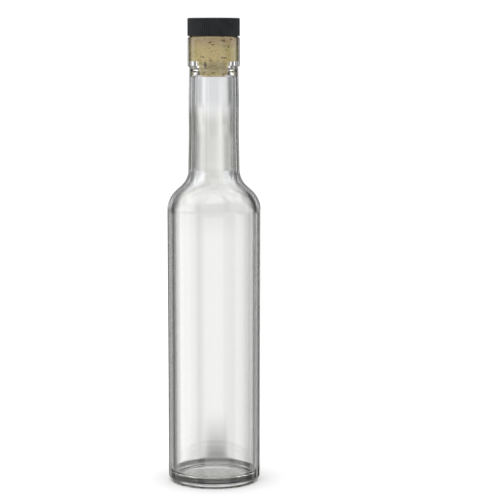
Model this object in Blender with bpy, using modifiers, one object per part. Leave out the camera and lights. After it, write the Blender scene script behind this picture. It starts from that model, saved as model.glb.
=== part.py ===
"""A clear glass bottle closed by a cork stopper with a ribbed black cap.

The bottle is a slim 250 ml spirit bottle: a straight body, an ogee shoulder, a long neck and a
tall banded mouth. The stopper is a round cork glued under a plastic cap. The cork fills the
bore and the cap sits on the mouth. Every piece is turned about the Z axis.

Metres, +Z up. The origin is the middle of the base, on the surface that the bottle stands on.
"""

import math
from typing import NamedTuple

import bpy
from mathutils import Vector

# The whole bottle.
BOTTLE_HEIGHT = 0.2450
BOTTLE_SIDES = 64

# The mouth: one straight band round the top of the neck.
BAND_RADIUS = 0.01425
BAND_HEIGHT = 0.0160
BAND_TOP_ROUNDING = 0.0018
BAND_FOOT_ROUNDING = 0.0010
BORE_RADIUS = 0.00925
BORE_EDGE_ROUNDING = 0.0010

# Inside the neck: the bore, then a rounded ledge where the neck widens under it.
BORE_LENGTH = 0.0178
LEDGE_LENGTH = 0.0037
LEDGE_ROUNDING = 0.0030
NECK_INNER_TOP_RADIUS = 0.0106

# Outside the neck, which swells a little under the band and has a slight waist halfway down.
NECK_TOP_RADIUS = 0.0133
NECK_SWELL_RADIUS = 0.01372
NECK_SWELL_HEIGHT = 0.2085
NECK_WAIST_RADIUS = 0.01352
NECK_WAIST_HEIGHT = 0.1940
NECK_ROOT_RADIUS = 0.0141

# The shoulder: a slope between a hollow curve at the neck and a full curve at the body.
SHOULDER_TOP_HEIGHT = 0.1672
SHOULDER_FOOT_HEIGHT = 0.1567
SHOULDER_HOLLOW = 0.0120
SHOULDER_FULLNESS = 0.0150

# The inside of the shoulder, whose corners lie a little lower than the outside's.
INNER_SHOULDER_TOP_DROP = 0.0002
INNER_SHOULDER_FOOT_DROP = 0.0005
INNER_SHOULDER_HOLLOW = 0.0135
INNER_SHOULDER_FULLNESS = 0.0144

# The walls of the neck and of the body.
NECK_WALL = 0.0028
BODY_WALL = 0.0026

# The body, its floor, and the ring and the push-up under it.
BODY_RADIUS = 0.0257
HEEL_RADIUS = 0.0255
HEEL_ROUNDING = 0.0033
FLOOR_EDGE_HEIGHT = 0.0034
FLOOR_MIDDLE_HEIGHT = 0.0046
FLOOR_ROUNDING = 0.0040
RING_INNER_RADIUS = 0.0196
PUSH_UP_RADIUS = 0.0184
PUSH_UP_EDGE_HEIGHT = 0.0010
PUSH_UP_HEIGHT = 0.0022

# The stopper. Each piece keeps this clearance from its neighbours.
CLEARANCE = 0.0003
CAP_RADIUS = 0.01425
CAP_HEIGHT = 0.0095
CAP_EDGE_ROUNDING = 0.0008
CAP_RIBS = 72
RIB_DEPTH = 0.0005
CORK_RADIUS = BORE_RADIUS - CLEARANCE
CORK_LENGTH = 0.0214
CORK_TAPER_LENGTH = 0.0072
CORK_TAPER_ROUNDING = 0.0090
CORK_END_RADIUS = 0.0064
CORK_END_ROUNDING = 0.0012
CORK_EDGE_ROUNDING = 0.0004
CORK_SIDES = 48


class Corner(NamedTuple):
    """A corner of a turned piece's outline. One with a rounding becomes an arc of that radius."""

    radius: float
    height: float
    rounding: float = 0.0
    steps: int = 0


def arc(before, corner, after):
    """The points of the arc that rounds a corner between its two neighbours."""
    middle = Vector(corner[:2])
    back = (Vector(before[:2]) - middle).normalized()
    ahead = (Vector(after[:2]) - middle).normalized()
    half_angle = back.angle(ahead) / 2
    reach = corner.rounding / math.tan(half_angle)
    centre = middle + (back + ahead).normalized() * (corner.rounding / math.sin(half_angle))
    start = middle + back * reach - centre
    end = middle + ahead * reach - centre
    turns = [start.slerp(end, step / corner.steps).normalized() for step in range(corner.steps + 1)]
    return [centre + turn * corner.rounding for turn in turns]


def outline(corners):
    """The points of an outline through these corners, each rounded where it says so."""
    points = []
    for index, corner in enumerate(corners):
        if corner.rounding:
            points += arc(corners[index - 1], corner, corners[index + 1])
        else:
            points.append(Vector(corner[:2]))
    return points


def dome(edge_radius, edge_height, middle_height, steps):
    """The corners of a shallow dome, from just inside its edge to just outside its middle."""
    rise = middle_height - edge_height
    turns = [math.pi / 2 * step / steps for step in range(1, steps)]
    return [Corner(edge_radius * math.cos(turn), edge_height + rise * math.sin(turn)) for turn in turns]


def material(name, colour, roughness, transmission=0.0):
    """A Principled BSDF material. Glass has a transmission of 1."""
    made = bpy.data.materials.new(name)
    made.use_nodes = True
    shader = made.node_tree.nodes["Principled BSDF"]
    shader.inputs["Base Color"].default_value = (*colour, 1.0)
    shader.inputs["Metallic"].default_value = 0.0
    shader.inputs["Roughness"].default_value = roughness
    shader.inputs["Transmission Weight"].default_value = transmission
    return made


def turned(name, corners, sides, finish, collection):
    """A solid turned about Z. Its outline starts and ends on the axis and runs down its outside."""
    points = [(radius, 0.0, height) for radius, height in outline(corners)]
    mesh = bpy.data.meshes.new(name)
    mesh.from_pydata(points, [(i, i + 1) for i in range(len(points) - 1)], [])
    mesh.materials.append(finish)
    solid = bpy.data.objects.new(name, mesh)
    collection.objects.link(solid)
    screw = solid.modifiers.new("Turn", "SCREW")
    screw.axis = "Z"
    screw.angle = 2 * math.pi
    screw.steps = sides
    screw.render_steps = sides
    screw.use_merge_vertices = True
    screw.merge_threshold = 0.00001
    screw.use_smooth_shade = True
    return solid


def inner_corners():
    """The inside of the bottle, from the middle of its floor up to the foot of the bore."""
    bore_foot = BOTTLE_HEIGHT - BORE_LENGTH
    shoulder_top = SHOULDER_TOP_HEIGHT - INNER_SHOULDER_TOP_DROP
    shoulder_foot = SHOULDER_FOOT_HEIGHT - INNER_SHOULDER_FOOT_DROP
    floor_radius = HEEL_RADIUS - BODY_WALL
    floor = dome(floor_radius - FLOOR_ROUNDING, FLOOR_EDGE_HEIGHT, FLOOR_MIDDLE_HEIGHT, 4)
    return [
        Corner(0.0, FLOOR_MIDDLE_HEIGHT),
        *reversed(floor),
        Corner(floor_radius, FLOOR_EDGE_HEIGHT, FLOOR_ROUNDING, 5),
        Corner(BODY_RADIUS - BODY_WALL, shoulder_foot, INNER_SHOULDER_FULLNESS, 5),
        Corner(NECK_ROOT_RADIUS - NECK_WALL, shoulder_top, INNER_SHOULDER_HOLLOW, 5),
        Corner(NECK_WAIST_RADIUS - NECK_WALL, NECK_WAIST_HEIGHT),
        Corner(NECK_SWELL_RADIUS - NECK_WALL, NECK_SWELL_HEIGHT),
        Corner(NECK_INNER_TOP_RADIUS, bore_foot - LEDGE_LENGTH, LEDGE_ROUNDING, 2),
        Corner(BORE_RADIUS, bore_foot, LEDGE_ROUNDING, 2),
    ]


def outer_corners():
    """The outside of the bottle, from the edge of the bore down to the middle of the push-up."""
    band_foot = BOTTLE_HEIGHT - BAND_HEIGHT
    return [
        Corner(BORE_RADIUS, BOTTLE_HEIGHT, BORE_EDGE_ROUNDING, 2),
        Corner(BAND_RADIUS, BOTTLE_HEIGHT, BAND_TOP_ROUNDING, 3),
        Corner(BAND_RADIUS, band_foot, BAND_FOOT_ROUNDING / 2, 2),
        Corner(NECK_TOP_RADIUS, band_foot - BAND_FOOT_ROUNDING),
        Corner(NECK_SWELL_RADIUS, NECK_SWELL_HEIGHT),
        Corner(NECK_WAIST_RADIUS, NECK_WAIST_HEIGHT),
        Corner(NECK_ROOT_RADIUS, SHOULDER_TOP_HEIGHT, SHOULDER_HOLLOW, 5),
        Corner(BODY_RADIUS, SHOULDER_FOOT_HEIGHT, SHOULDER_FULLNESS, 6),
        Corner(HEEL_RADIUS, 0.0, HEEL_ROUNDING, 4),
        Corner(RING_INNER_RADIUS, 0.0),
        Corner(PUSH_UP_RADIUS, PUSH_UP_EDGE_HEIGHT),
        *dome(PUSH_UP_RADIUS, PUSH_UP_EDGE_HEIGHT, PUSH_UP_HEIGHT, 3),
        Corner(0.0, PUSH_UP_HEIGHT),
    ]


def glass_bottle(collection):
    """The bottle: one wall of clear glass, open at the mouth."""
    clear_glass = material("clear_glass", (0.93, 0.96, 0.95), 0.02, transmission=1.0)
    return turned("glass_bottle", inner_corners() + outer_corners(), BOTTLE_SIDES, clear_glass, collection)


def stopper_cork(collection):
    """The cork: a cylinder that fills the bore and tapers roundly to its small end."""
    top = BOTTLE_HEIGHT
    corners = [
        Corner(0.0, top),
        Corner(CORK_RADIUS, top, CORK_EDGE_ROUNDING, 1),
        Corner(CORK_RADIUS, top - CORK_LENGTH + CORK_TAPER_LENGTH, CORK_TAPER_ROUNDING, 4),
        Corner(CORK_END_RADIUS, top - CORK_LENGTH, CORK_END_ROUNDING, 2),
        Corner(0.0, top - CORK_LENGTH),
    ]
    cork = material("natural_cork", (0.56, 0.44, 0.27), 0.85)
    return turned("stopper_cork", corners, CORK_SIDES, cork, collection)


def draw_in_grooves(cap):
    """Makes the turned cap a plain mesh, and draws in every second edge of its side, between the ribs."""
    bpy.context.view_layer.update()
    evaluated = cap.evaluated_get(bpy.context.evaluated_depsgraph_get())
    mesh = bpy.data.meshes.new_from_object(evaluated)
    cap.modifiers.clear()
    cap.data = mesh
    side_angle = math.pi / CAP_RIBS
    for vertex in mesh.vertices:
        radius = math.hypot(vertex.co.x, vertex.co.y)
        side = round(math.atan2(vertex.co.y, vertex.co.x) / side_angle)
        if side % 2 and radius > CAP_RADIUS - CAP_EDGE_ROUNDING / 2:
            vertex.co.xy *= 1 - RIB_DEPTH / radius


def stopper_cap(collection):
    """The cap: a flat black disc with fine ribs round its side."""
    foot = BOTTLE_HEIGHT + CLEARANCE
    corners = [
        Corner(0.0, foot + CAP_HEIGHT),
        Corner(CAP_RADIUS, foot + CAP_HEIGHT, CAP_EDGE_ROUNDING, 2),
        Corner(CAP_RADIUS, foot, CAP_EDGE_ROUNDING / 2, 1),
        Corner(0.0, foot),
    ]
    black_plastic = material("black_plastic", (0.012, 0.013, 0.014), 0.42)
    cap = turned("stopper_cap", corners, 2 * CAP_RIBS, black_plastic, collection)
    draw_in_grooves(cap)
    return cap


def main():
    """Builds the bottle and its stopper in a collection of their own."""
    for old in list(bpy.data.objects):
        bpy.data.objects.remove(old, do_unlink=True)
    collection = bpy.data.collections.new("corked_glass_bottle")
    bpy.context.scene.collection.children.link(collection)
    glass_bottle(collection)
    stopper_cork(collection)
    stopper_cap(collection)


main()
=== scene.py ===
"""The looks of a clear glass bottle closed by a cork stopper with a ribbed black cap.

Metres, +Z up. The bottle stands on the floor at the origin, and every piece is turned about Z.
"""

import logging
import math
from dataclasses import dataclass, field
from enum import Enum
from typing import Callable, NamedTuple, Sequence

import bpy
import numpy as np
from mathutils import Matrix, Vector, noise


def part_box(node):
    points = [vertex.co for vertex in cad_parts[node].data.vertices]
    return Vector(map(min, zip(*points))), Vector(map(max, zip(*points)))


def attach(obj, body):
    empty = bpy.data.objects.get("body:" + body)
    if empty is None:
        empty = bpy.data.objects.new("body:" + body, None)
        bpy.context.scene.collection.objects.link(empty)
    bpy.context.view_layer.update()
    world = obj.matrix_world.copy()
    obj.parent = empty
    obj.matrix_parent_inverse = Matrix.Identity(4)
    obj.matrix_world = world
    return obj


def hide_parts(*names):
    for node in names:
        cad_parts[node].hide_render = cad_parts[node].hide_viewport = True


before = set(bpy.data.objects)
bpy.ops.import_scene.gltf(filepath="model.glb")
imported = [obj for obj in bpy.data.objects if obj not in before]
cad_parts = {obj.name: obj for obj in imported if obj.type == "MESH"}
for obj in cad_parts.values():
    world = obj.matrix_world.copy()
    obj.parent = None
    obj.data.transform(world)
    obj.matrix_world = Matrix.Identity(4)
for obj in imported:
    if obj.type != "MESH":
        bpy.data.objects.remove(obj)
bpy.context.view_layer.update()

BODY = "root"
LOG = logging.getLogger("corked_glass_bottle")

# Gives how far each point of a turned surface is raised, from its angle, radius and height.
Relief = Callable[[np.ndarray, np.ndarray, np.ndarray], np.ndarray]


class Slot(Enum):
    """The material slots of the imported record."""

    GLASS = "clear_glass"
    CORK = "natural_cork"
    PLASTIC = "black_plastic"


class Node(Enum):
    """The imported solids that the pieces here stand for."""

    BOTTLE = "glass_bottle"
    CORK = "stopper_cork"
    CAP = "stopper_cap"


# ---------------------------------------------------------------------------------- outlines


class Corner(NamedTuple):
    """A corner of a turned piece's outline. One with a rounding becomes an arc of that radius."""

    radius: float
    height: float
    rounding: float = 0.0


@dataclass(frozen=True)
class Outline:
    """An outline of rounded corners, drawn in the half plane right of the Z axis."""

    corners: tuple[Corner, ...]
    arc_step: float = math.radians(5)
    longest_run: float = 0.0025

    def _arc(self, index: int) -> list[Vector]:
        """Rounds one corner.

        Args:
            index: The corner's place in the outline.

        Returns:
            The points of the arc, from one tangent point to the other.
        """
        corner = self.corners[index]
        middle = Vector(corner[:2])
        back = (Vector(self.corners[index - 1][:2]) - middle).normalized()
        ahead = (Vector(self.corners[index + 1][:2]) - middle).normalized()
        half = back.angle(ahead) / 2
        centre = middle + (back + ahead).normalized() * (corner.rounding / math.sin(half))
        start = middle + back * (corner.rounding / math.tan(half)) - centre
        end = middle + ahead * (corner.rounding / math.tan(half)) - centre
        turning = math.pi - 2 * half
        fewest = max(turning / self.arc_step, turning * corner.rounding / self.longest_run)
        steps = max(2, math.ceil(fewest))
        turns = (start.slerp(end, step / steps).normalized() for step in range(steps + 1))
        return [centre + turn * corner.rounding for turn in turns]

    def points(self) -> np.ndarray:
        """Draws the whole outline.

        Returns:
            An array of (radius, height) rows, with no straight run longer than longest_run.
        """
        bends: list[Vector] = []
        for index, corner in enumerate(self.corners):
            bends += self._arc(index) if corner.rounding else [Vector(corner[:2])]
        drawn = [bends[0]]
        for here, there in zip(bends, bends[1:]):
            runs = max(1, math.ceil((there - here).length / self.longest_run))
            drawn += [here.lerp(there, run / runs) for run in range(1, runs + 1)]
        return np.array([tuple(point) for point in drawn])


def dome(edge: Corner, middle_height: float, steps: int) -> list[Corner]:
    """Draws a shallow dome between a rim and the axis.

    Args:
        edge: The dome's rim.
        middle_height: The height of its middle.
        steps: How many straight runs stand for its curve.

    Returns:
        The corners from just inside the rim to just outside the middle.
    """
    turns = [math.pi / 2 * step / steps for step in range(1, steps)]
    rise = middle_height - edge.height
    return [Corner(edge.radius * math.cos(turn), edge.height + rise * math.sin(turn)) for turn in turns]


@dataclass(frozen=True)
class Lathe:
    """Turns outlines about Z. An outline starts and ends on the axis and runs down its outside."""

    sides: int

    def turn(self, name: str, outline: np.ndarray, relief: Relief | None = None) -> bpy.types.Object:
        """Makes one closed mesh.

        Args:
            name: The new piece's name.
            outline: The (radius, height) rows of the outline.
            relief: Gives how far each point of the surface is raised.

        Returns:
            The turned piece, linked to the scene and shaded smooth.
        """
        rows = outline[1:-1]
        along = np.gradient(outline, axis=0)[1:-1]
        along /= np.linalg.norm(along, axis=1, keepdims=True)
        angle = np.arange(self.sides)[None, :] * (2 * math.pi / self.sides)
        radius = np.repeat(rows[:, :1], self.sides, axis=1)
        height = np.repeat(rows[:, 1:], self.sides, axis=1)
        if relief is not None:
            raised = relief(np.broadcast_to(angle, radius.shape), radius, height)
            radius = radius - raised * along[:, 1:]
            height = height + raised * along[:, :1]
        rings = np.stack([radius * np.cos(angle), radius * np.sin(angle), height], axis=2)
        ends = [(0.0, 0.0, float(outline[0, 1])), (0.0, 0.0, float(outline[-1, 1]))]
        mesh = bpy.data.meshes.new(name)
        mesh.from_pydata(rings.reshape(-1, 3).tolist() + ends, [], self._faces(len(rows)))
        mesh.shade_smooth()
        piece = bpy.data.objects.new(name, mesh)
        bpy.context.scene.collection.objects.link(piece)
        return piece

    def _faces(self, rings: int) -> list[tuple[int, ...]]:
        """Lists the faces between the rings and at the two ends.

        Args:
            rings: How many rings of points there are.

        Returns:
            The corner numbers of each face, facing out of the solid.
        """
        first_end, last_end = rings * self.sides, rings * self.sides + 1
        last_ring = (rings - 1) * self.sides
        faces: list[tuple[int, ...]] = []
        for side in range(self.sides):
            following = (side + 1) % self.sides
            faces.append((first_end, side, following))
            faces.append((last_end, last_ring + following, last_ring + side))
            for ring in range(rings - 1):
                here, there = ring * self.sides, (ring + 1) * self.sides
                faces.append((here + side, there + side, there + following, here + following))
        return faces


# --------------------------------------------------------------------------------- materials


@dataclass(frozen=True)
class Grain:
    """A noise: its clouds to a metre, its finer layers and how strong they are, and its squeeze."""

    scale: float
    detail: float = 2.0
    roughness: float = 0.5
    squeeze: tuple[float, float, float] = (1.0, 1.0, 1.0)


class Shading:
    """A material under construction: a Principled BSDF and the nodes that feed it."""

    def __init__(self, name: str) -> None:
        """Starts a material.

        Args:
            name: The material's name.
        """
        self.material = bpy.data.materials.new(name)
        self.material.use_nodes = True
        self.tree = self.material.node_tree
        self.shader = self.tree.nodes["Principled BSDF"]
        self.output = self.tree.nodes["Material Output"]
        self.place = self.tree.nodes.new("ShaderNodeTexCoord").outputs["Object"]

    def set(self, **values: float | tuple[float, ...]) -> None:
        """Sets the shader's own sockets, named with underscores for spaces."""
        for name, value in values.items():
            self.shader.inputs[name.replace("_", " ")].default_value = value

    def node(self, kind: str, inputs: dict[str | int, object], **settings: object) -> bpy.types.Node:
        """Adds a node.

        Args:
            kind: The node's type.
            inputs: What each input socket holds: a value, or another node's output socket.
            settings: The node's own settings.

        Returns:
            The new node.
        """
        made = self.tree.nodes.new(kind)
        for name, value in settings.items():
            setattr(made, name, value)
        for name, value in inputs.items():
            if isinstance(value, bpy.types.NodeSocket):
                self.tree.links.new(value, made.inputs[name])
            else:
                made.inputs[name].default_value = value
        return made

    def height(self) -> bpy.types.NodeSocket:
        """Gives the height of each place."""
        return self.node("ShaderNodeSeparateXYZ", {"Vector": self.place}).outputs["Z"]

    def level(self) -> bpy.types.NodeSocket:
        """Gives each place dropped onto the floor."""
        inputs = {0: self.place, 1: (1.0, 1.0, 0.0)}
        return self.node("ShaderNodeVectorMath", inputs, operation="MULTIPLY").outputs["Vector"]

    def reach(self) -> bpy.types.NodeSocket:
        """Gives how far each place is from the Z axis."""
        return self.node("ShaderNodeVectorMath", {0: self.level()}, operation="LENGTH").outputs["Value"]

    def noise(self, grain: Grain) -> bpy.types.NodeSocket:
        """Adds a cloudy noise.

        Args:
            grain: How it is laid out.

        Returns:
            The noise's factor, from 0 to 1.
        """
        squeezed = self.node("ShaderNodeMapping", {"Vector": self.place, "Scale": grain.squeeze})
        inputs = {
            "Vector": squeezed.outputs["Vector"],
            "Scale": grain.scale,
            "Detail": grain.detail,
            "Roughness": grain.roughness,
        }
        return self.node("ShaderNodeTexNoise", inputs).outputs["Fac"]

    def ramp(self, factor: bpy.types.NodeSocket,
             stops: Sequence[tuple[float, tuple[float, float, float]]]) -> bpy.types.NodeSocket:
        """Turns a factor into a colour.

        Args:
            factor: What picks the colour.
            stops: The colours, each with its place from 0 to 1.

        Returns:
            The colour socket.
        """
        ramp = self.node("ShaderNodeValToRGB", {"Fac": factor})
        elements = ramp.color_ramp.elements
        while len(elements) < len(stops):
            elements.new(0.5)
        for element, (place, colour) in zip(elements, stops):
            element.position = place
            element.color = (*colour, 1.0)
        return ramp.outputs["Color"]

    def spread(self, factor: bpy.types.NodeSocket, start: tuple[float, float], end: tuple[float, float],
               smooth: bool = False) -> bpy.types.NodeSocket:
        """Maps one range of numbers onto another.

        Args:
            factor: The number to map.
            start: The range that it comes in.
            end: The range that it goes out in.
            smooth: Whether it eases in and out.

        Returns:
            The mapped number, kept within the new range.
        """
        inputs = {
            "Value": factor,
            "From Min": start[0],
            "From Max": start[1],
            "To Min": end[0],
            "To Max": end[1],
        }
        kind = "SMOOTHSTEP" if smooth else "LINEAR"
        mapped = self.node("ShaderNodeMapRange", inputs, clamp=True, interpolation_type=kind)
        return mapped.outputs["Result"]

    def between(self, number: bpy.types.NodeSocket, rise: tuple[float, float], fall: tuple[float, float],
                most: float) -> bpy.types.NodeSocket:
        """Rises softly from 0 along a number, and falls back to 0 farther on.

        Args:
            number: The number.
            rise: The range in which it rises.
            fall: The range in which it falls.
            most: What it rises to.

        Returns:
            The value, from 0 to the most.
        """
        rising = self.spread(number, rise, (0.0, most), smooth=True)
        return self.product(rising, self.spread(number, fall, (1.0, 0.0), smooth=True))

    def mix(self, factor: bpy.types.NodeSocket, first: object, second: object,
            blend: str = "MIX") -> bpy.types.NodeSocket:
        """Mixes two colours by a factor.

        Args:
            factor: How much of the second there is.
            first: The first colour.
            second: The second colour.
            blend: How they mix.

        Returns:
            The mixed colour.
        """
        inputs = {"Factor": factor, 6: first, 7: second}
        return self.node("ShaderNodeMix", inputs, data_type="RGBA", blend_type=blend).outputs[2]

    def product(self, first: bpy.types.NodeSocket, second: bpy.types.NodeSocket) -> bpy.types.NodeSocket:
        """Multiplies two numbers."""
        return self.node("ShaderNodeMath", {0: first, 1: second}, operation="MULTIPLY").outputs[0]

    def bump(self, relief: bpy.types.NodeSocket, distance: float) -> bpy.types.NodeSocket:
        """Adds a fine relief to the shading.

        Args:
            relief: The relief, from 0 to 1.
            distance: Its full height in metres.

        Returns:
            The normal socket.
        """
        inputs = {"Height": relief, "Distance": distance, "Strength": 1.0}
        return self.node("ShaderNodeBump", inputs).outputs["Normal"]

    def feed(self, **sockets: bpy.types.NodeSocket) -> None:
        """Links sockets into the shader's inputs, named with underscores for spaces."""
        for name, socket in sockets.items():
            self.tree.links.new(socket, self.shader.inputs[name.replace("_", " ")])


@dataclass(frozen=True)
class ClearGlass:
    """Clear bottle glass: slightly wavy, slightly green where it is thick, with painted shade at its
    edges.

    The edge greys are painted shade, standing in for the dark surroundings that the edges show: they
    say what the glass lets through, by how far it turns away from the eye, from 0 to 1. That turn is
    read as smaller on the shoulder and the bottle's floor, which stay clear of the painted shade, and
    as larger on the heel, where painted shade darkens it. Each range of heights or radii runs from none
    to all.
    The edge greys were not chosen by hand: a numerical search by another program found them, and
    they were rounded, the last two more freely.
    """

    index: float = 1.52
    tint: tuple[float, float, float] = (0.80, 0.93, 0.88)
    absorption: float = 2.0
    waves: Grain = Grain(38.0, 1.0, squeeze=(1.0, 1.0, 0.35))
    wave_height: float = 0.00002
    smears: Grain = Grain(55.0, 3.0, squeeze=(1.0, 1.0, 0.5))
    smear_range: tuple[float, float] = (0.5, 0.9)
    smear_roughness: float = 0.05
    # Painted shade: greys for what the glass lets through, darker towards its edges.
    painted_edge_shade: tuple[tuple[float, float], ...] = (
        (0.0, 1.0),
        (0.2, 0.95),
        (0.3, 0.81),
        (0.4, 0.80),
        (0.5, 0.33),
        (0.6, 0.11),
        (0.75, 0.02),
        (1.0, 0.05),
    )
    # Where the painted edge shade is eased: on the shoulder and on the bottle's floor.
    shoulder_foot: tuple[float, float] = (0.1510, 0.1570)
    shoulder_top: tuple[float, float] = (0.1660, 0.1720)
    shoulder_clearness: float = 0.15
    floor_height: tuple[float, float] = (0.0060, 0.0050)
    floor_radius: tuple[float, float] = (0.0215, 0.0185)
    floor_clearness: float = 0.6
    # Where painted shade darkens the heel, and how much.
    heel_foot: tuple[float, float] = (0.0025, 0.0036)
    heel_top: tuple[float, float] = (0.0050, 0.0060)
    heel_radius: tuple[float, float] = (0.0205, 0.0225)
    painted_heel_shade: float = 0.58

    def _turned_away(self, shading: Shading) -> bpy.types.NodeSocket:
        """Finds how far each place turns away, eased on the shoulder and floor and raised on the heel.

        The turn picks the painted edge shade, so the heel gets darker painted shade.

        Args:
            shading: The glass under construction.

        Returns:
            The turn, from 0 face on to 1 edge on.
        """
        height, reach = shading.height(), shading.reach()
        on_shoulder = shading.between(
            height, self.shoulder_foot, self.shoulder_top, self.shoulder_clearness,
        )
        low = shading.spread(height, self.floor_height, (0.0, self.floor_clearness))
        on_floor = shading.product(low, shading.spread(reach, self.floor_radius, (0.0, 1.0)))
        # Painted shade: a darker band round the heel.
        round_heel = shading.between(height, self.heel_foot, self.heel_top, self.painted_heel_shade)
        on_heel = shading.product(round_heel, shading.spread(reach, self.heel_radius, (0.0, 1.0)))
        turned = shading.node("ShaderNodeLayerWeight", {"Blend": 0.5}).outputs["Facing"]
        for change, part in (("SUBTRACT", on_shoulder), ("SUBTRACT", on_floor), ("ADD", on_heel)):
            turned = shading.node("ShaderNodeMath", {0: turned, 1: part}, operation=change).outputs[0]
        return turned

    def material(self) -> bpy.types.Material:
        """Makes the glass.

        Returns:
            The material, with its green in the volume.
        """
        shading = Shading("clear_glass")
        shading.set(Transmission_Weight=1.0, IOR=self.index)
        # Painted shade: the greys darken the glass's colour towards its edges.
        greys = [(turn, (grey, grey, grey)) for turn, grey in self.painted_edge_shade]
        smears = shading.noise(self.smears)
        shading.feed(
            Base_Color=shading.ramp(self._turned_away(shading), greys),
            Normal=shading.bump(shading.noise(self.waves), self.wave_height),
            Roughness=shading.spread(smears, self.smear_range, (0.0, self.smear_roughness)),
        )
        green = {"Color": (*self.tint, 1.0), "Density": self.absorption}
        volume = shading.node("ShaderNodeVolumeAbsorption", green)
        shading.tree.links.new(volume.outputs["Volume"], shading.output.inputs["Volume"])
        return shading.material


@dataclass(frozen=True)
class NaturalCork:
    """Cork bark: pale yellow tan, rosier under the cap, with darker growth streaks and brown pores."""

    pale: tuple[float, float, float] = (0.82, 0.69, 0.32)
    golden: tuple[float, float, float] = (0.84, 0.65, 0.33)
    olive: tuple[float, float, float] = (0.62, 0.56, 0.23)
    streak: tuple[float, float, float] = (0.40, 0.29, 0.13)
    pore: tuple[float, float, float] = (0.12, 0.06, 0.025)
    rosy: tuple[float, float, float] = (0.72, 0.53, 0.34)
    rosy_heights: tuple[float, float] = (0.2360, 0.2440)
    rosy_share: float = 0.7
    clouds: Grain = Grain(160.0, 3.0)
    grain: Grain = Grain(900.0, 4.0, 0.7, (1.0, 1.0, 2.2))
    grain_range: tuple[float, float] = (0.42, 0.70)
    grain_share: float = 0.5
    grain_height: float = 0.0002
    pores: Grain = Grain(340.0, 2.0, 0.6, (1.0, 1.0, 2.6))
    pore_range: tuple[float, float] = (0.62, 0.69)

    def material(self) -> bpy.types.Material:
        """Makes the cork.

        Returns:
            The material, with pores and grain from noise.
        """
        shading = Shading("natural_cork")
        shading.set(Roughness=0.85, Specular_IOR_Level=0.25)
        stops = [(0.30, self.olive), (0.50, self.pale), (0.72, self.golden)]
        bark = shading.ramp(shading.noise(self.clouds), stops)
        upper = shading.spread(shading.height(), self.rosy_heights, (0.0, self.rosy_share), smooth=True)
        bark = shading.mix(upper, bark, (*self.rosy, 1.0))
        grain = shading.noise(self.grain)
        streaks = shading.spread(grain, self.grain_range, (0.0, self.grain_share))
        bark = shading.mix(streaks, bark, (*self.streak, 1.0))
        pores = shading.spread(shading.noise(self.pores), self.pore_range, (0.0, 1.0))
        bark = shading.mix(pores, bark, (*self.pore, 1.0))
        shading.feed(Base_Color=bark, Normal=shading.bump(grain, self.grain_height))
        return shading.material


@dataclass(frozen=True)
class BlackPlastic:
    """Black moulded plastic: a dark ribbed side, and a satin top that catches more light."""

    colour: tuple[float, float, float] = (0.008, 0.009, 0.011)
    dusty: tuple[float, float, float] = (0.018, 0.021, 0.024)
    side_gloss: float = 0.22
    top_gloss: float = 0.6
    top_heights: tuple[float, float] = (0.2540, 0.2546)
    roughness: tuple[float, float] = (0.34, 0.50)
    wear: Grain = Grain(120.0, 4.0, 0.65)
    skin: Grain = Grain(5200.0)
    skin_height: float = 0.00002

    def material(self) -> bpy.types.Material:
        """Makes the plastic.

        Returns:
            The material, with a worn, uneven sheen.
        """
        shading = Shading("black_plastic")
        wear = shading.noise(self.wear)
        gloss = (self.side_gloss, self.top_gloss)
        shading.feed(
            Base_Color=shading.ramp(wear, [(0.35, self.colour), (0.75, self.dusty)]),
            Roughness=shading.spread(wear, (0.3, 0.7), self.roughness),
            Specular_IOR_Level=shading.spread(shading.height(), self.top_heights, gloss),
            Normal=shading.bump(shading.noise(self.skin), self.skin_height),
        )
        return shading.material


@dataclass(frozen=True)
class PaleFloor:
    """The matt white floor."""

    colour: tuple[float, float, float] = (0.93, 0.93, 0.93)
    cloud_colour: tuple[float, float, float] = (0.94, 0.94, 0.94)
    clouds: Grain = Grain(2.0)

    def material(self) -> bpy.types.Material:
        """Makes the floor's paint.

        Returns:
            The material, with the faintest unevenness.
        """
        shading = Shading("pale_floor")
        shading.set(Roughness=0.9, Specular_IOR_Level=0.0)
        stops = [(0.3, self.colour), (0.7, self.cloud_colour)]
        shading.feed(Base_Color=shading.ramp(shading.noise(self.clouds), stops))
        return shading.material


@dataclass(frozen=True)
class PaintedLightFloor:
    """The floor right under the bottle: a painted shadow, dappled with painted light.

    Its middle glows with painted light, standing in for the light that comes through the glass.
    """

    # Painted shadow and painted light: the two colours of the dapples.
    shadow: tuple[float, float, float] = (0.44, 0.41, 0.34)
    light: tuple[float, float, float] = (0.82, 0.83, 0.76)
    mottle: Grain = Grain(350.0)
    # Painted light: how strongly the middle glows, and over what radius it fades.
    glow: float = 0.17
    painted_glow_radius: tuple[float, float] = (0.0195, 0.0160)

    def material(self) -> bpy.types.Material:
        """Makes the floor's painted shadow and painted light.

        Returns:
            The material, whose painted light glows a little in the middle and not at its rim.
        """
        shading = Shading("painted_light_floor")
        shading.set(Roughness=0.9, Specular_IOR_Level=0.0)
        # Painted shadow dappled with painted light, and a painted glow in the middle, as if lit through
        # the glass.
        paint = shading.ramp(shading.noise(self.mottle), [(0.40, self.shadow), (0.56, self.light)])
        glow = shading.spread(shading.reach(), self.painted_glow_radius, (0.0, self.glow))
        shading.feed(Base_Color=paint, Emission_Color=paint, Emission_Strength=glow)
        return shading.material


# ------------------------------------------------------------------------------------ pieces


def join(piece: bpy.types.Object, node: Node, finish: bpy.types.Material) -> None:
    """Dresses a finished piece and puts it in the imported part's place.

    Args:
        piece: The new piece.
        node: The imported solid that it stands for.
        finish: Its material.
    """
    piece.data.materials.append(finish)
    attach(piece, BODY)
    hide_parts(node.value)
    LOG.info("%s: %d faces, %s", piece.name, len(piece.data.polygons), finish.name)


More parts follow.
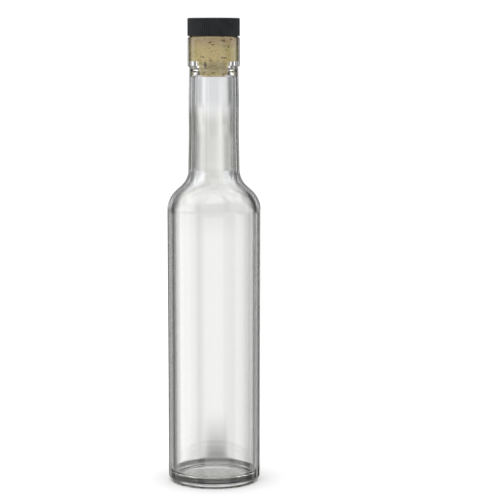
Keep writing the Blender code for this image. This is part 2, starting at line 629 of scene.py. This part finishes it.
@dataclass
class GlassBottle:
    """The bottle: one wall of clear glass from the push-up under the base to the banded mouth."""

    height: float = field(default_factory=lambda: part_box(Node.BOTTLE.value)[1].z)
    body_radius: float = field(default_factory=lambda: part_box(Node.BOTTLE.value)[1].x)
    sides: int = 256
    band_radius: float = 0.01425
    band_height: float = 0.0160
    band_top_rounding: float = 0.0018
    band_foot_rounding: float = 0.0010
    bore_radius: float = 0.00925
    bore_edge_rounding: float = 0.0010
    bore_length: float = 0.0178
    ledge_length: float = 0.0037
    ledge_rounding: float = 0.0030
    neck_top_radius: float = 0.0133
    neck_swell_radius: float = 0.01372
    neck_swell_height: float = 0.2085
    neck_waist_radius: float = 0.01352
    neck_waist_height: float = 0.1940
    neck_curve: float = 0.35
    neck_inner_top_radius: float = 0.0106
    neck_root_radius: float = 0.0141
    shoulder_top_height: float = 0.1672
    shoulder_foot_height: float = 0.1567
    shoulder_hollow: float = 0.0120
    shoulder_fullness: float = 0.0150
    neck_wall: float = 0.0028
    body_wall: float = 0.0026
    inner_shoulder_top_drop: float = 0.0002
    inner_shoulder_foot_drop: float = 0.0005
    inner_shoulder_hollow: float = 0.0135
    inner_shoulder_fullness: float = 0.0144
    heel_taper: float = 0.0002
    heel_rounding: float = 0.0033
    floor_edge_height: float = 0.0034
    floor_middle_height: float = 0.0046
    floor_rounding: float = 0.0040
    ring_inner_radius: float = 0.0196
    ring_inner_rounding: float = 0.0006
    push_up_radius: float = 0.0184
    push_up_edge_height: float = 0.0010
    push_up_rounding: float = 0.0008
    push_up_height: float = 0.0022
    dome_steps: int = 12
    seam_width: float = 0.0005
    seam_height: float = 0.00005
    knurls: int = 64
    knurl_depth: float = 0.00015
    wall_waves: float = 0.00002
    wave_length: float = 0.022
    finish: ClearGlass = ClearGlass()

    def inside(self) -> list[Corner]:
        """Draws the inside.

        Returns:
            Its corners, from the middle of the floor up to the foot of the bore.
        """
        bore_foot = self.height - self.bore_length
        shoulder_top = self.shoulder_top_height - self.inner_shoulder_top_drop
        shoulder_foot = self.shoulder_foot_height - self.inner_shoulder_foot_drop
        floor_radius = self.body_radius - self.heel_taper - self.body_wall
        rim = Corner(floor_radius - self.floor_rounding, self.floor_edge_height)
        return [
            Corner(0.0, self.floor_middle_height),
            *reversed(dome(rim, self.floor_middle_height, self.dome_steps)),
            Corner(floor_radius, self.floor_edge_height, self.floor_rounding),
            Corner(self.body_radius - self.body_wall, shoulder_foot, self.inner_shoulder_fullness),
            Corner(self.neck_root_radius - self.neck_wall, shoulder_top, self.inner_shoulder_hollow),
            Corner(self.neck_waist_radius - self.neck_wall, self.neck_waist_height, self.neck_curve),
            Corner(self.neck_swell_radius - self.neck_wall, self.neck_swell_height, self.neck_curve),
            Corner(self.neck_inner_top_radius, bore_foot - self.ledge_length, self.ledge_rounding),
            Corner(self.bore_radius, bore_foot, self.ledge_rounding),
        ]

    def outside(self) -> list[Corner]:
        """Draws the outside.

        Returns:
            Its corners, from the edge of the bore down to the middle of the push-up.
        """
        band_foot = self.height - self.band_height
        neck_top = band_foot - self.band_foot_rounding
        rim = Corner(self.push_up_radius, self.push_up_edge_height, self.push_up_rounding)
        return [
            Corner(self.bore_radius, self.height, self.bore_edge_rounding),
            Corner(self.band_radius, self.height, self.band_top_rounding),
            Corner(self.band_radius, band_foot, self.band_foot_rounding / 2),
            Corner(self.neck_top_radius, neck_top, self.band_foot_rounding / 3),
            Corner(self.neck_swell_radius, self.neck_swell_height, self.neck_curve),
            Corner(self.neck_waist_radius, self.neck_waist_height, self.neck_curve),
            Corner(self.neck_root_radius, self.shoulder_top_height, self.shoulder_hollow),
            Corner(self.body_radius, self.shoulder_foot_height, self.shoulder_fullness),
            Corner(self.body_radius - self.heel_taper, 0.0, self.heel_rounding),
            Corner(self.ring_inner_radius, 0.0, self.ring_inner_rounding),
            rim,
            *dome(rim, self.push_up_height, self.dome_steps),
            Corner(0.0, self.push_up_height),
        ]

    def _seams(self, angle: np.ndarray, ring: np.ndarray, height: np.ndarray) -> np.ndarray:
        """Raises the two mould seams, which run up the outside from the shoulder to the band.

        Args:
            angle: The angle of each point.
            ring: Its radius.
            height: Its height.

        Returns:
            How far each point is raised.
        """
        across = np.abs(np.sin(angle)) * ring / self.seam_width
        off_body = np.clip((self.body_radius - ring) / self.body_wall, 0, 1)
        under_band = np.clip((self.height - self.band_height - height) / self.seam_width - 2, 0, 1)
        on_neck = (height > self.shoulder_foot_height) * off_body * under_band
        return self.seam_height * np.exp(-across ** 2) * on_neck

    def _knurling(self, angle: np.ndarray, ring: np.ndarray, height: np.ndarray) -> np.ndarray:
        """Cuts fine notches round the ring that the bottle stands on.

        Args:
            angle: The angle of each point.
            ring: Its radius.
            height: Its height.

        Returns:
            How far each point is raised, which is never above nought.
        """
        standing = (height < self.knurl_depth) & (ring > self.ring_inner_radius + self.knurl_depth)
        return -self.knurl_depth * standing * (0.5 + 0.5 * np.cos(angle * self.knurls))

    def _waves(self, angle: np.ndarray, ring: np.ndarray, height: np.ndarray) -> np.ndarray:
        """Waves the inside of the body's wall a little, as blown glass is.

        Args:
            angle: The angle of each point.
            ring: Its radius.
            height: Its height.

        Returns:
            How far each point is raised.
        """
        above_floor = np.clip(height / self.wave_length - 0.5, 0, 1)
        below_shoulder = np.clip((self.shoulder_foot_height - height) / self.wave_length, 0, 1)
        waves = above_floor * below_shoulder
        for place in zip(*np.nonzero(waves)):
            across = Vector((math.cos(angle[place]), math.sin(angle[place]))) * ring[place]
            waves[place] *= noise.noise(Vector((*across, height[place] / 3)) / self.wave_length)
        return self.wall_waves * waves

    def _moulding(self, angle: np.ndarray, ring: np.ndarray, height: np.ndarray) -> np.ndarray:
        """Gives the glass the marks of its mould. The outline's rows after the mouth are the outside.

        Args:
            angle: The angle of each point.
            ring: Its radius.
            height: Its height.

        Returns:
            How far each point is raised.
        """
        mouth = int(np.argmax(height[:, 0]))
        inside, outside = slice(0, mouth), slice(mouth, None)
        raised = np.zeros_like(ring)
        raised[inside] = self._waves(angle[inside], ring[inside], height[inside])
        raised[outside] = self._seams(angle[outside], ring[outside], height[outside])
        raised[outside] += self._knurling(angle[outside], ring[outside], height[outside])
        return raised

    def build(self) -> bpy.types.Object:
        """Builds and dresses the bottle.

        Returns:
            The glass.
        """
        outline = Outline((*self.inside(), *self.outside())).points()
        piece = Lathe(self.sides).turn("bottle_glass", outline, self._moulding)
        join(piece, Node.BOTTLE, self.finish.material())
        return piece


@dataclass
class CorkPlug:
    """The cork: squeezed into the bore, and tapering roundly to its small end."""

    bore_radius: float
    bore_foot: float
    squeeze: float = 0.00008
    taper_length: float = 0.0072
    taper_rounding: float = 0.0090
    end_radius: float = 0.0064
    end_rounding: float = 0.0012
    edge_rounding: float = 0.0004
    lump_size: float = 0.0016
    lump_height: float = 0.00004
    pit_width: float = 0.0011
    pit_height: float = 0.0005
    pit_threshold: float = 0.28
    pit_depth: float = 0.0006
    sides: int = 256
    longest_run: float = 0.00025
    finish: NaturalCork = NaturalCork()

    def _bark(self, angle: np.ndarray, ring: np.ndarray, height: np.ndarray) -> np.ndarray:
        """Raises low lumps all over the cork, and sinks pits into what the bore doesn't hold.

        Args:
            angle: The angle of each point.
            ring: Its radius.
            height: Its height.

        Returns:
            How far each point is raised, which is below zero in a pit.
        """
        free = np.clip((self.bore_foot - height) / self.pit_width, 0, 1)
        raised = np.zeros_like(ring)
        for place in np.ndindex(ring.shape):
            x, y = ring[place] * math.cos(angle[place]), ring[place] * math.sin(angle[place])
            z = height[place]
            lump = noise.noise(Vector((x, y, z)) / self.lump_size)
            pit = noise.noise(Vector((x / self.pit_width, y / self.pit_width, z / self.pit_height)))
            depth = max(pit - self.pit_threshold, 0.0) * self.pit_depth * free[place]
            raised[place] = lump * self.lump_height - depth
        return raised

    def build(self) -> bpy.types.Object:
        """Builds and dresses the cork.

        Returns:
            The cork.
        """
        low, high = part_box(Node.CORK.value)
        radius = self.bore_radius + self.squeeze
        corners = (
            Corner(0.0, high.z),
            Corner(radius, high.z, self.edge_rounding),
            Corner(radius, low.z + self.taper_length, self.taper_rounding),
            Corner(self.end_radius, low.z, self.end_rounding),
            Corner(0.0, low.z),
        )
        outline = Outline(corners, longest_run=self.longest_run).points()
        piece = Lathe(self.sides).turn("cork_plug", outline, self._bark)
        join(piece, Node.CORK, self.finish.material())
        return piece


@dataclass
class RibbedCap:
    """The cap: a flat black disc with a slightly sunk top and fine rounded ribs round its side."""

    mouth_height: float
    ribs: int = 72
    rib_depth: float = 0.0005
    edge_rounding: float = 0.0008
    rim_width: float = 0.0016
    sink: float = 0.0002
    gate_radius: float = 0.0009
    gate_depth: float = 0.0003
    seat_gap: float = 0.00002
    sides_per_rib: int = 8
    longest_run: float = 0.0008
    finish: BlackPlastic = BlackPlastic()

    def build(self) -> bpy.types.Object:
        """Builds and dresses the cap.

        Returns:
            The cap.
        """
        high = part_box(Node.CAP.value)[1]
        radius, foot, sunk = high.x, self.mouth_height + self.seat_gap, high.z - self.sink
        corners = (
            Corner(0.0, sunk - self.gate_depth),
            Corner(self.gate_radius / 2, sunk - self.gate_depth, self.gate_depth / 2),
            Corner(self.gate_radius, sunk, self.gate_depth / 2),
            Corner(radius - self.rim_width, sunk, self.rim_width / 2),
            Corner(radius - self.rim_width / 2, high.z, self.rim_width / 6),
            Corner(radius, high.z, self.edge_rounding * 0.9),
            Corner(radius, foot, self.edge_rounding / 2),
            Corner(0.0, foot),
        )

        def ribbing(angle: np.ndarray, ring: np.ndarray, height: np.ndarray) -> np.ndarray:
            """Draws in the grooves between the ribs.

            Args:
                angle: The angle of each point.
                ring: Its radius.
                height: Its height, which is not used.

            Returns:
                How far each point is raised, which is below zero in a groove.
            """
            groove = 1 - np.abs(np.sin(angle * self.ribs / 2))
            near_side = np.clip((ring - radius + self.edge_rounding) / self.edge_rounding, 0, 1)
            return -self.rib_depth * groove * near_side

        outline = Outline(corners, longest_run=self.longest_run).points()
        piece = Lathe(self.ribs * self.sides_per_rib).turn("ribbed_cap", outline, ribbing)
        join(piece, Node.CAP, self.finish.material())
        return piece


# ------------------------------------------------------------------------------------ studio


@dataclass(frozen=True)
class Flag:
    """A scrim or flag on the tent's wall, which lets a share of the light through.

    Its azimuth is measured from straight behind the bottle, right being positive. It, the width and
    the softness of the edges are in degrees.
    """

    azimuth: float
    width: float
    light: float
    softness: float = 5.0

    def cover(self, shading: Shading, heading: bpy.types.NodeSocket) -> bpy.types.NodeSocket:
        """Finds how much of a place on the tent's wall the flag covers.

        Args:
            shading: The wall's material.
            heading: The level direction of the place, as a unit vector.

        Returns:
            The cover, from 0 to 1.
        """
        turn = math.radians(self.azimuth)
        inputs = {0: heading, 1: (math.sin(turn), math.cos(turn), 0.0)}
        across = shading.node("ShaderNodeVectorMath", inputs, operation="DOT_PRODUCT").outputs["Value"]
        outer = math.cos(math.radians((self.width + self.softness) / 2))
        inner = math.cos(math.radians(max(self.width - self.softness, 0.0) / 2))
        return shading.spread(across, (outer, inner), (0.0, 1.0), smooth=True)


@dataclass(frozen=True)
class Band:
    """A level band of the tent's wall and its flags, from a foot to a top that fade, in degrees."""

    flags: dict[str, Flag]
    foot: float | None = None
    top: float | None = None
    foot_fade: float = 1.5
    top_fade: float = 1.5
    tint: tuple[float, float, float] = (1.0, 1.0, 1.0)

    def cover(self, shading: Shading, slope: bpy.types.NodeSocket) -> bpy.types.NodeSocket | None:
        """Finds how much of a place on the tent's wall is in the band.

        Args:
            shading: The wall's material.
            slope: The place's height over its distance.

        Returns:
            The cover, from 0 to 1, or None for a band without edges.
        """
        cover = None
        for edge, fade in ((self.foot, self.foot_fade), (self.top, -self.top_fade)):
            if edge is None:
                continue
            start, end = (math.tan(math.radians(edge + fade * half)) for half in (-0.5, 0.5))
            part = shading.spread(slope, (start, end), (0.0, 1.0), smooth=True)
            cover = part if cover is None else shading.product(cover, part)
        return cover


def studio_bands() -> dict[str, Band]:
    """Hangs the flags of the studio.

    The camera looks down at the foot of the bottle and level at its mouth, so each height of the
    glass shows its own band of the wall behind it, and the sides and the front at its edges.

    Nineteen of these flags were not placed by hand: those of the whole wall, behind the body, and
    behind the lower and the upper neck. Least-squares fits by other programs chose their azimuths,
    widths and light, and the numbers were rounded afterwards. Six more were set after such fits: the
    three round the neck, the front scrim behind the shoulder, and the front flag and the front right
    scrim above. The last five were set by comparing renders.

    Returns:
        The bands, by what shows them.
    """
    return {
        "whole wall": Band({
            "front left scrim": Flag(-146.0, 16.0, 0.46),
            "front right scrim": Flag(134.0, 16.0, 0.44),
        }),
        "behind the body": Band({
            "back scrim": Flag(3.0, 15.0, 0.52),
            "left edge flag": Flag(-23.5, 9.0, 0.0),
            "right edge flag": Flag(33.0, 12.0, 0.0),
            "rear left scrim": Flag(-50.5, 23.0, 0.40),
            "right side scrim": Flag(83.5, 24.5, 0.40),
            "back left veil": Flag(-13.0, 17.5, 0.77),
            "rear right strip": Flag(55.5, 5.0, 0.05),
        }, top=-3.95, top_fade=0.8, tint=(1.0, 1.0, 0.985)),
        "behind the shoulder": Band({
            "shoulder veil": Flag(0.5, 7.0, 0.97, softness=2.0),
            "shoulder scrim": Flag(0.0, 40.0, 0.95, softness=10.0),
            "front scrim": Flag(180.0, 95.0, 0.85, softness=10.0),
        }, foot=-5.6, top=-3.7, foot_fade=1.0, top_fade=0.6),
        "round the neck": Band({
            "front scrim": Flag(180.0, 50.0, 0.38, softness=8.0),
            "rear left scrim": Flag(-51.0, 25.0, 0.15, softness=8.0),
            "rear right scrim": Flag(50.0, 23.0, 0.12, softness=8.0),
        }, foot=-4.2, top=35.0, top_fade=20.0),
        "behind the lower neck": Band({
            "back scrim": Flag(-2.0, 5.5, 0.42, softness=10.0),
            "left edge flag": Flag(-20.0, 22.0, 0.33, softness=9.0),
            "right edge flag": Flag(17.0, 26.0, 0.32),
            "right side scrim": Flag(92.0, 34.0, 0.2),
            "left side scrim": Flag(-73.5, 33.5, 0.72),
        }, foot=-3.9, top=-1.75, foot_fade=1.1, top_fade=0.9, tint=(1.0, 1.0, 0.96)),
        "behind the upper neck": Band({
            "back scrim": Flag(3.5, 17.5, 0.50),
            "left edge scrim": Flag(-13.0, 13.0, 0.49),
            "right edge flag": Flag(19.0, 15.5, 0.11),
            "left side scrim": Flag(-110.0, 44.0, 0.21),
            "right side flag": Flag(111.0, 24.5, 0.0),
        }, foot=-1.75, top=2.8, foot_fade=0.9, top_fade=2.0, tint=(0.98, 0.985, 1.0)),
        "above": Band({
            "header board": Flag(12.0, 105.0, 0.38, softness=20.0),
            "front flag": Flag(-175.0, 80.0, 0.2, softness=40.0),
            "front right scrim": Flag(120.0, 50.0, 0.35, softness=20.0),
        }, foot=3.0, top=38.0, foot_fade=4.0, top_fade=10.0),
        # Painted shade: a dark patch and its halo on the tent, standing in for the bottle's own shadow
        # seen through its base.
        "behind the base": Band({
            "painted bottle shadow": Flag(0.3, 1.0, 0.36, softness=3.0),
            "painted bottle shadow halo": Flag(-1.2, 4.5, 0.88),
        }, top=-12.5, top_fade=2.0),
    }


@dataclass
class LightTent:
    """The white tent round the bottle, which shows only in its glass and gloss."""

    radius: float = 30.0
    rings: int = 64
    glow: float = 1.5
    bands: dict[str, Band] = field(default_factory=studio_bands)

    def build(self) -> bpy.types.Object:
        """Builds the tent.

        Returns:
            The tent.
        """
        sides = 2 * self.rings
        bpy.ops.mesh.primitive_uv_sphere_add(radius=self.radius, segments=sides, ring_count=self.rings)
        tent = bpy.context.object
        tent.name = "light_tent"
        tent.visible_camera = tent.visible_diffuse = tent.visible_shadow = False
        tent.data.materials.append(self._material())
        return tent

    def _material(self) -> bpy.types.Material:
        """Makes the glow of the tent's wall.

        Returns:
            The material.
        """
        shading = Shading("tent_wall")
        level = {0: shading.level()}
        heading = shading.node("ShaderNodeVectorMath", level, operation="NORMALIZE").outputs["Vector"]
        rise = {0: shading.height(), 1: shading.reach()}
        slope = shading.node("ShaderNodeMath", rise, operation="DIVIDE").outputs["Value"]
        light: object = (self.glow, self.glow, self.glow, 1.0)
        for band in self.bands.values():
            in_band = band.cover(shading, slope)
            for flag in band.flags.values():
                cover = flag.cover(shading, heading)
                if in_band is not None:
                    cover = shading.product(cover, in_band)
                light = shading.mix(cover, light, (flag.light, flag.light, flag.light, 1.0), "MULTIPLY")
            if in_band is not None:
                light = shading.mix(in_band, light, (*band.tint, 1.0), "MULTIPLY")
        glow = shading.node("ShaderNodeEmission", {"Color": light, "Strength": 1.0})
        shading.tree.nodes.remove(shading.shader)
        shading.tree.links.new(glow.outputs["Emission"], shading.output.inputs["Surface"])
        return shading.material


@dataclass
class Studio:
    """The floor, the light, the tent and the camera."""

    camera_distance: float = 0.970
    camera_height: float = 0.2404
    camera_pitch: float = 6.6
    camera_yaw: float = 1.166
    camera_lens: float = 127.8
    room_light: float = 1.12
    lamp_size: float = 3.0
    lamp_power: float = 12.0
    lamp_place: tuple[float, float, float] = (-0.3, -0.1, 1.6)
    floor_size: float = 60.0
    disc_radius: float = 0.0244
    disc_sides: int = 96
    disc_lift: float = 0.0001
    floor_finish: PaleFloor = PaleFloor()
    # The disc's finish paints the bottle's shadow and the light through its glass.
    disc_finish: PaintedLightFloor = PaintedLightFloor()
    tent: LightTent = field(default_factory=LightTent)

    def build(self) -> None:
        """Builds the whole studio."""
        self._floor()
        self._light()
        self.tent.build()
        self._camera()

    def _floor(self) -> None:
        """Lays the floor, and on it the disc that shows through the glass in its place.

        The disc carries a painted shadow and painted light.
        """
        bpy.ops.mesh.primitive_plane_add(size=self.floor_size)
        floor = bpy.context.object
        floor.name = "studio_floor"
        floor.location.z = -self.disc_lift
        floor.visible_transmission = floor.visible_glossy = False
        floor.data.materials.append(self.floor_finish.material())
        bpy.ops.mesh.primitive_circle_add(
            vertices=self.disc_sides, radius=self.disc_radius, fill_type="NGON",
        )
        disc = bpy.context.object
        disc.name = "floor_under_bottle"
        disc.data.materials.append(self.disc_finish.material())

    def _light(self) -> None:
        """Makes the room white, and hangs one soft light over the bottle."""
        world = bpy.data.worlds.new("white_room")
        world.use_nodes = True
        background = world.node_tree.nodes["Background"]
        background.inputs["Color"].default_value = (1.0, 1.0, 1.0, 1.0)
        background.inputs["Strength"].default_value = self.room_light
        bpy.context.scene.world = world
        lamp = bpy.data.lights.new("soft_light", "AREA")
        lamp.shape = "RECTANGLE"
        lamp.size = lamp.size_y = self.lamp_size
        lamp.energy = self.lamp_power
        light = bpy.data.objects.new("soft_light", lamp)
        light.location = self.lamp_place
        light.rotation_euler = (-light.location).to_track_quat("-Z", "Y").to_euler()
        bpy.context.scene.collection.objects.link(light)
        bpy.context.scene.view_settings.view_transform = "Standard"

    def _camera(self) -> None:
        """Places the camera level with the mouth, looking a little down and past the bottle."""
        data = bpy.data.cameras.new("camera")
        data.lens = self.camera_lens
        camera = bpy.data.objects.new("camera", data)
        camera.location = (0.0, -self.camera_distance, self.camera_height)
        tilt, turn = math.radians(90 - self.camera_pitch), -math.radians(self.camera_yaw)
        camera.rotation_euler = (tilt, 0.0, turn)
        bpy.context.scene.collection.objects.link(camera)
        bpy.context.scene.camera = camera


def main() -> None:
    """Builds the bottle, its stopper and the studio."""
    logging.basicConfig(level=logging.INFO, format="%(message)s")
    bottle = GlassBottle()
    bottle.build()
    CorkPlug(bottle.bore_radius, bottle.height - bottle.bore_length).build()
    RibbedCap(bottle.height).build()
    Studio().build()


if __name__ == "__main__":
    main()
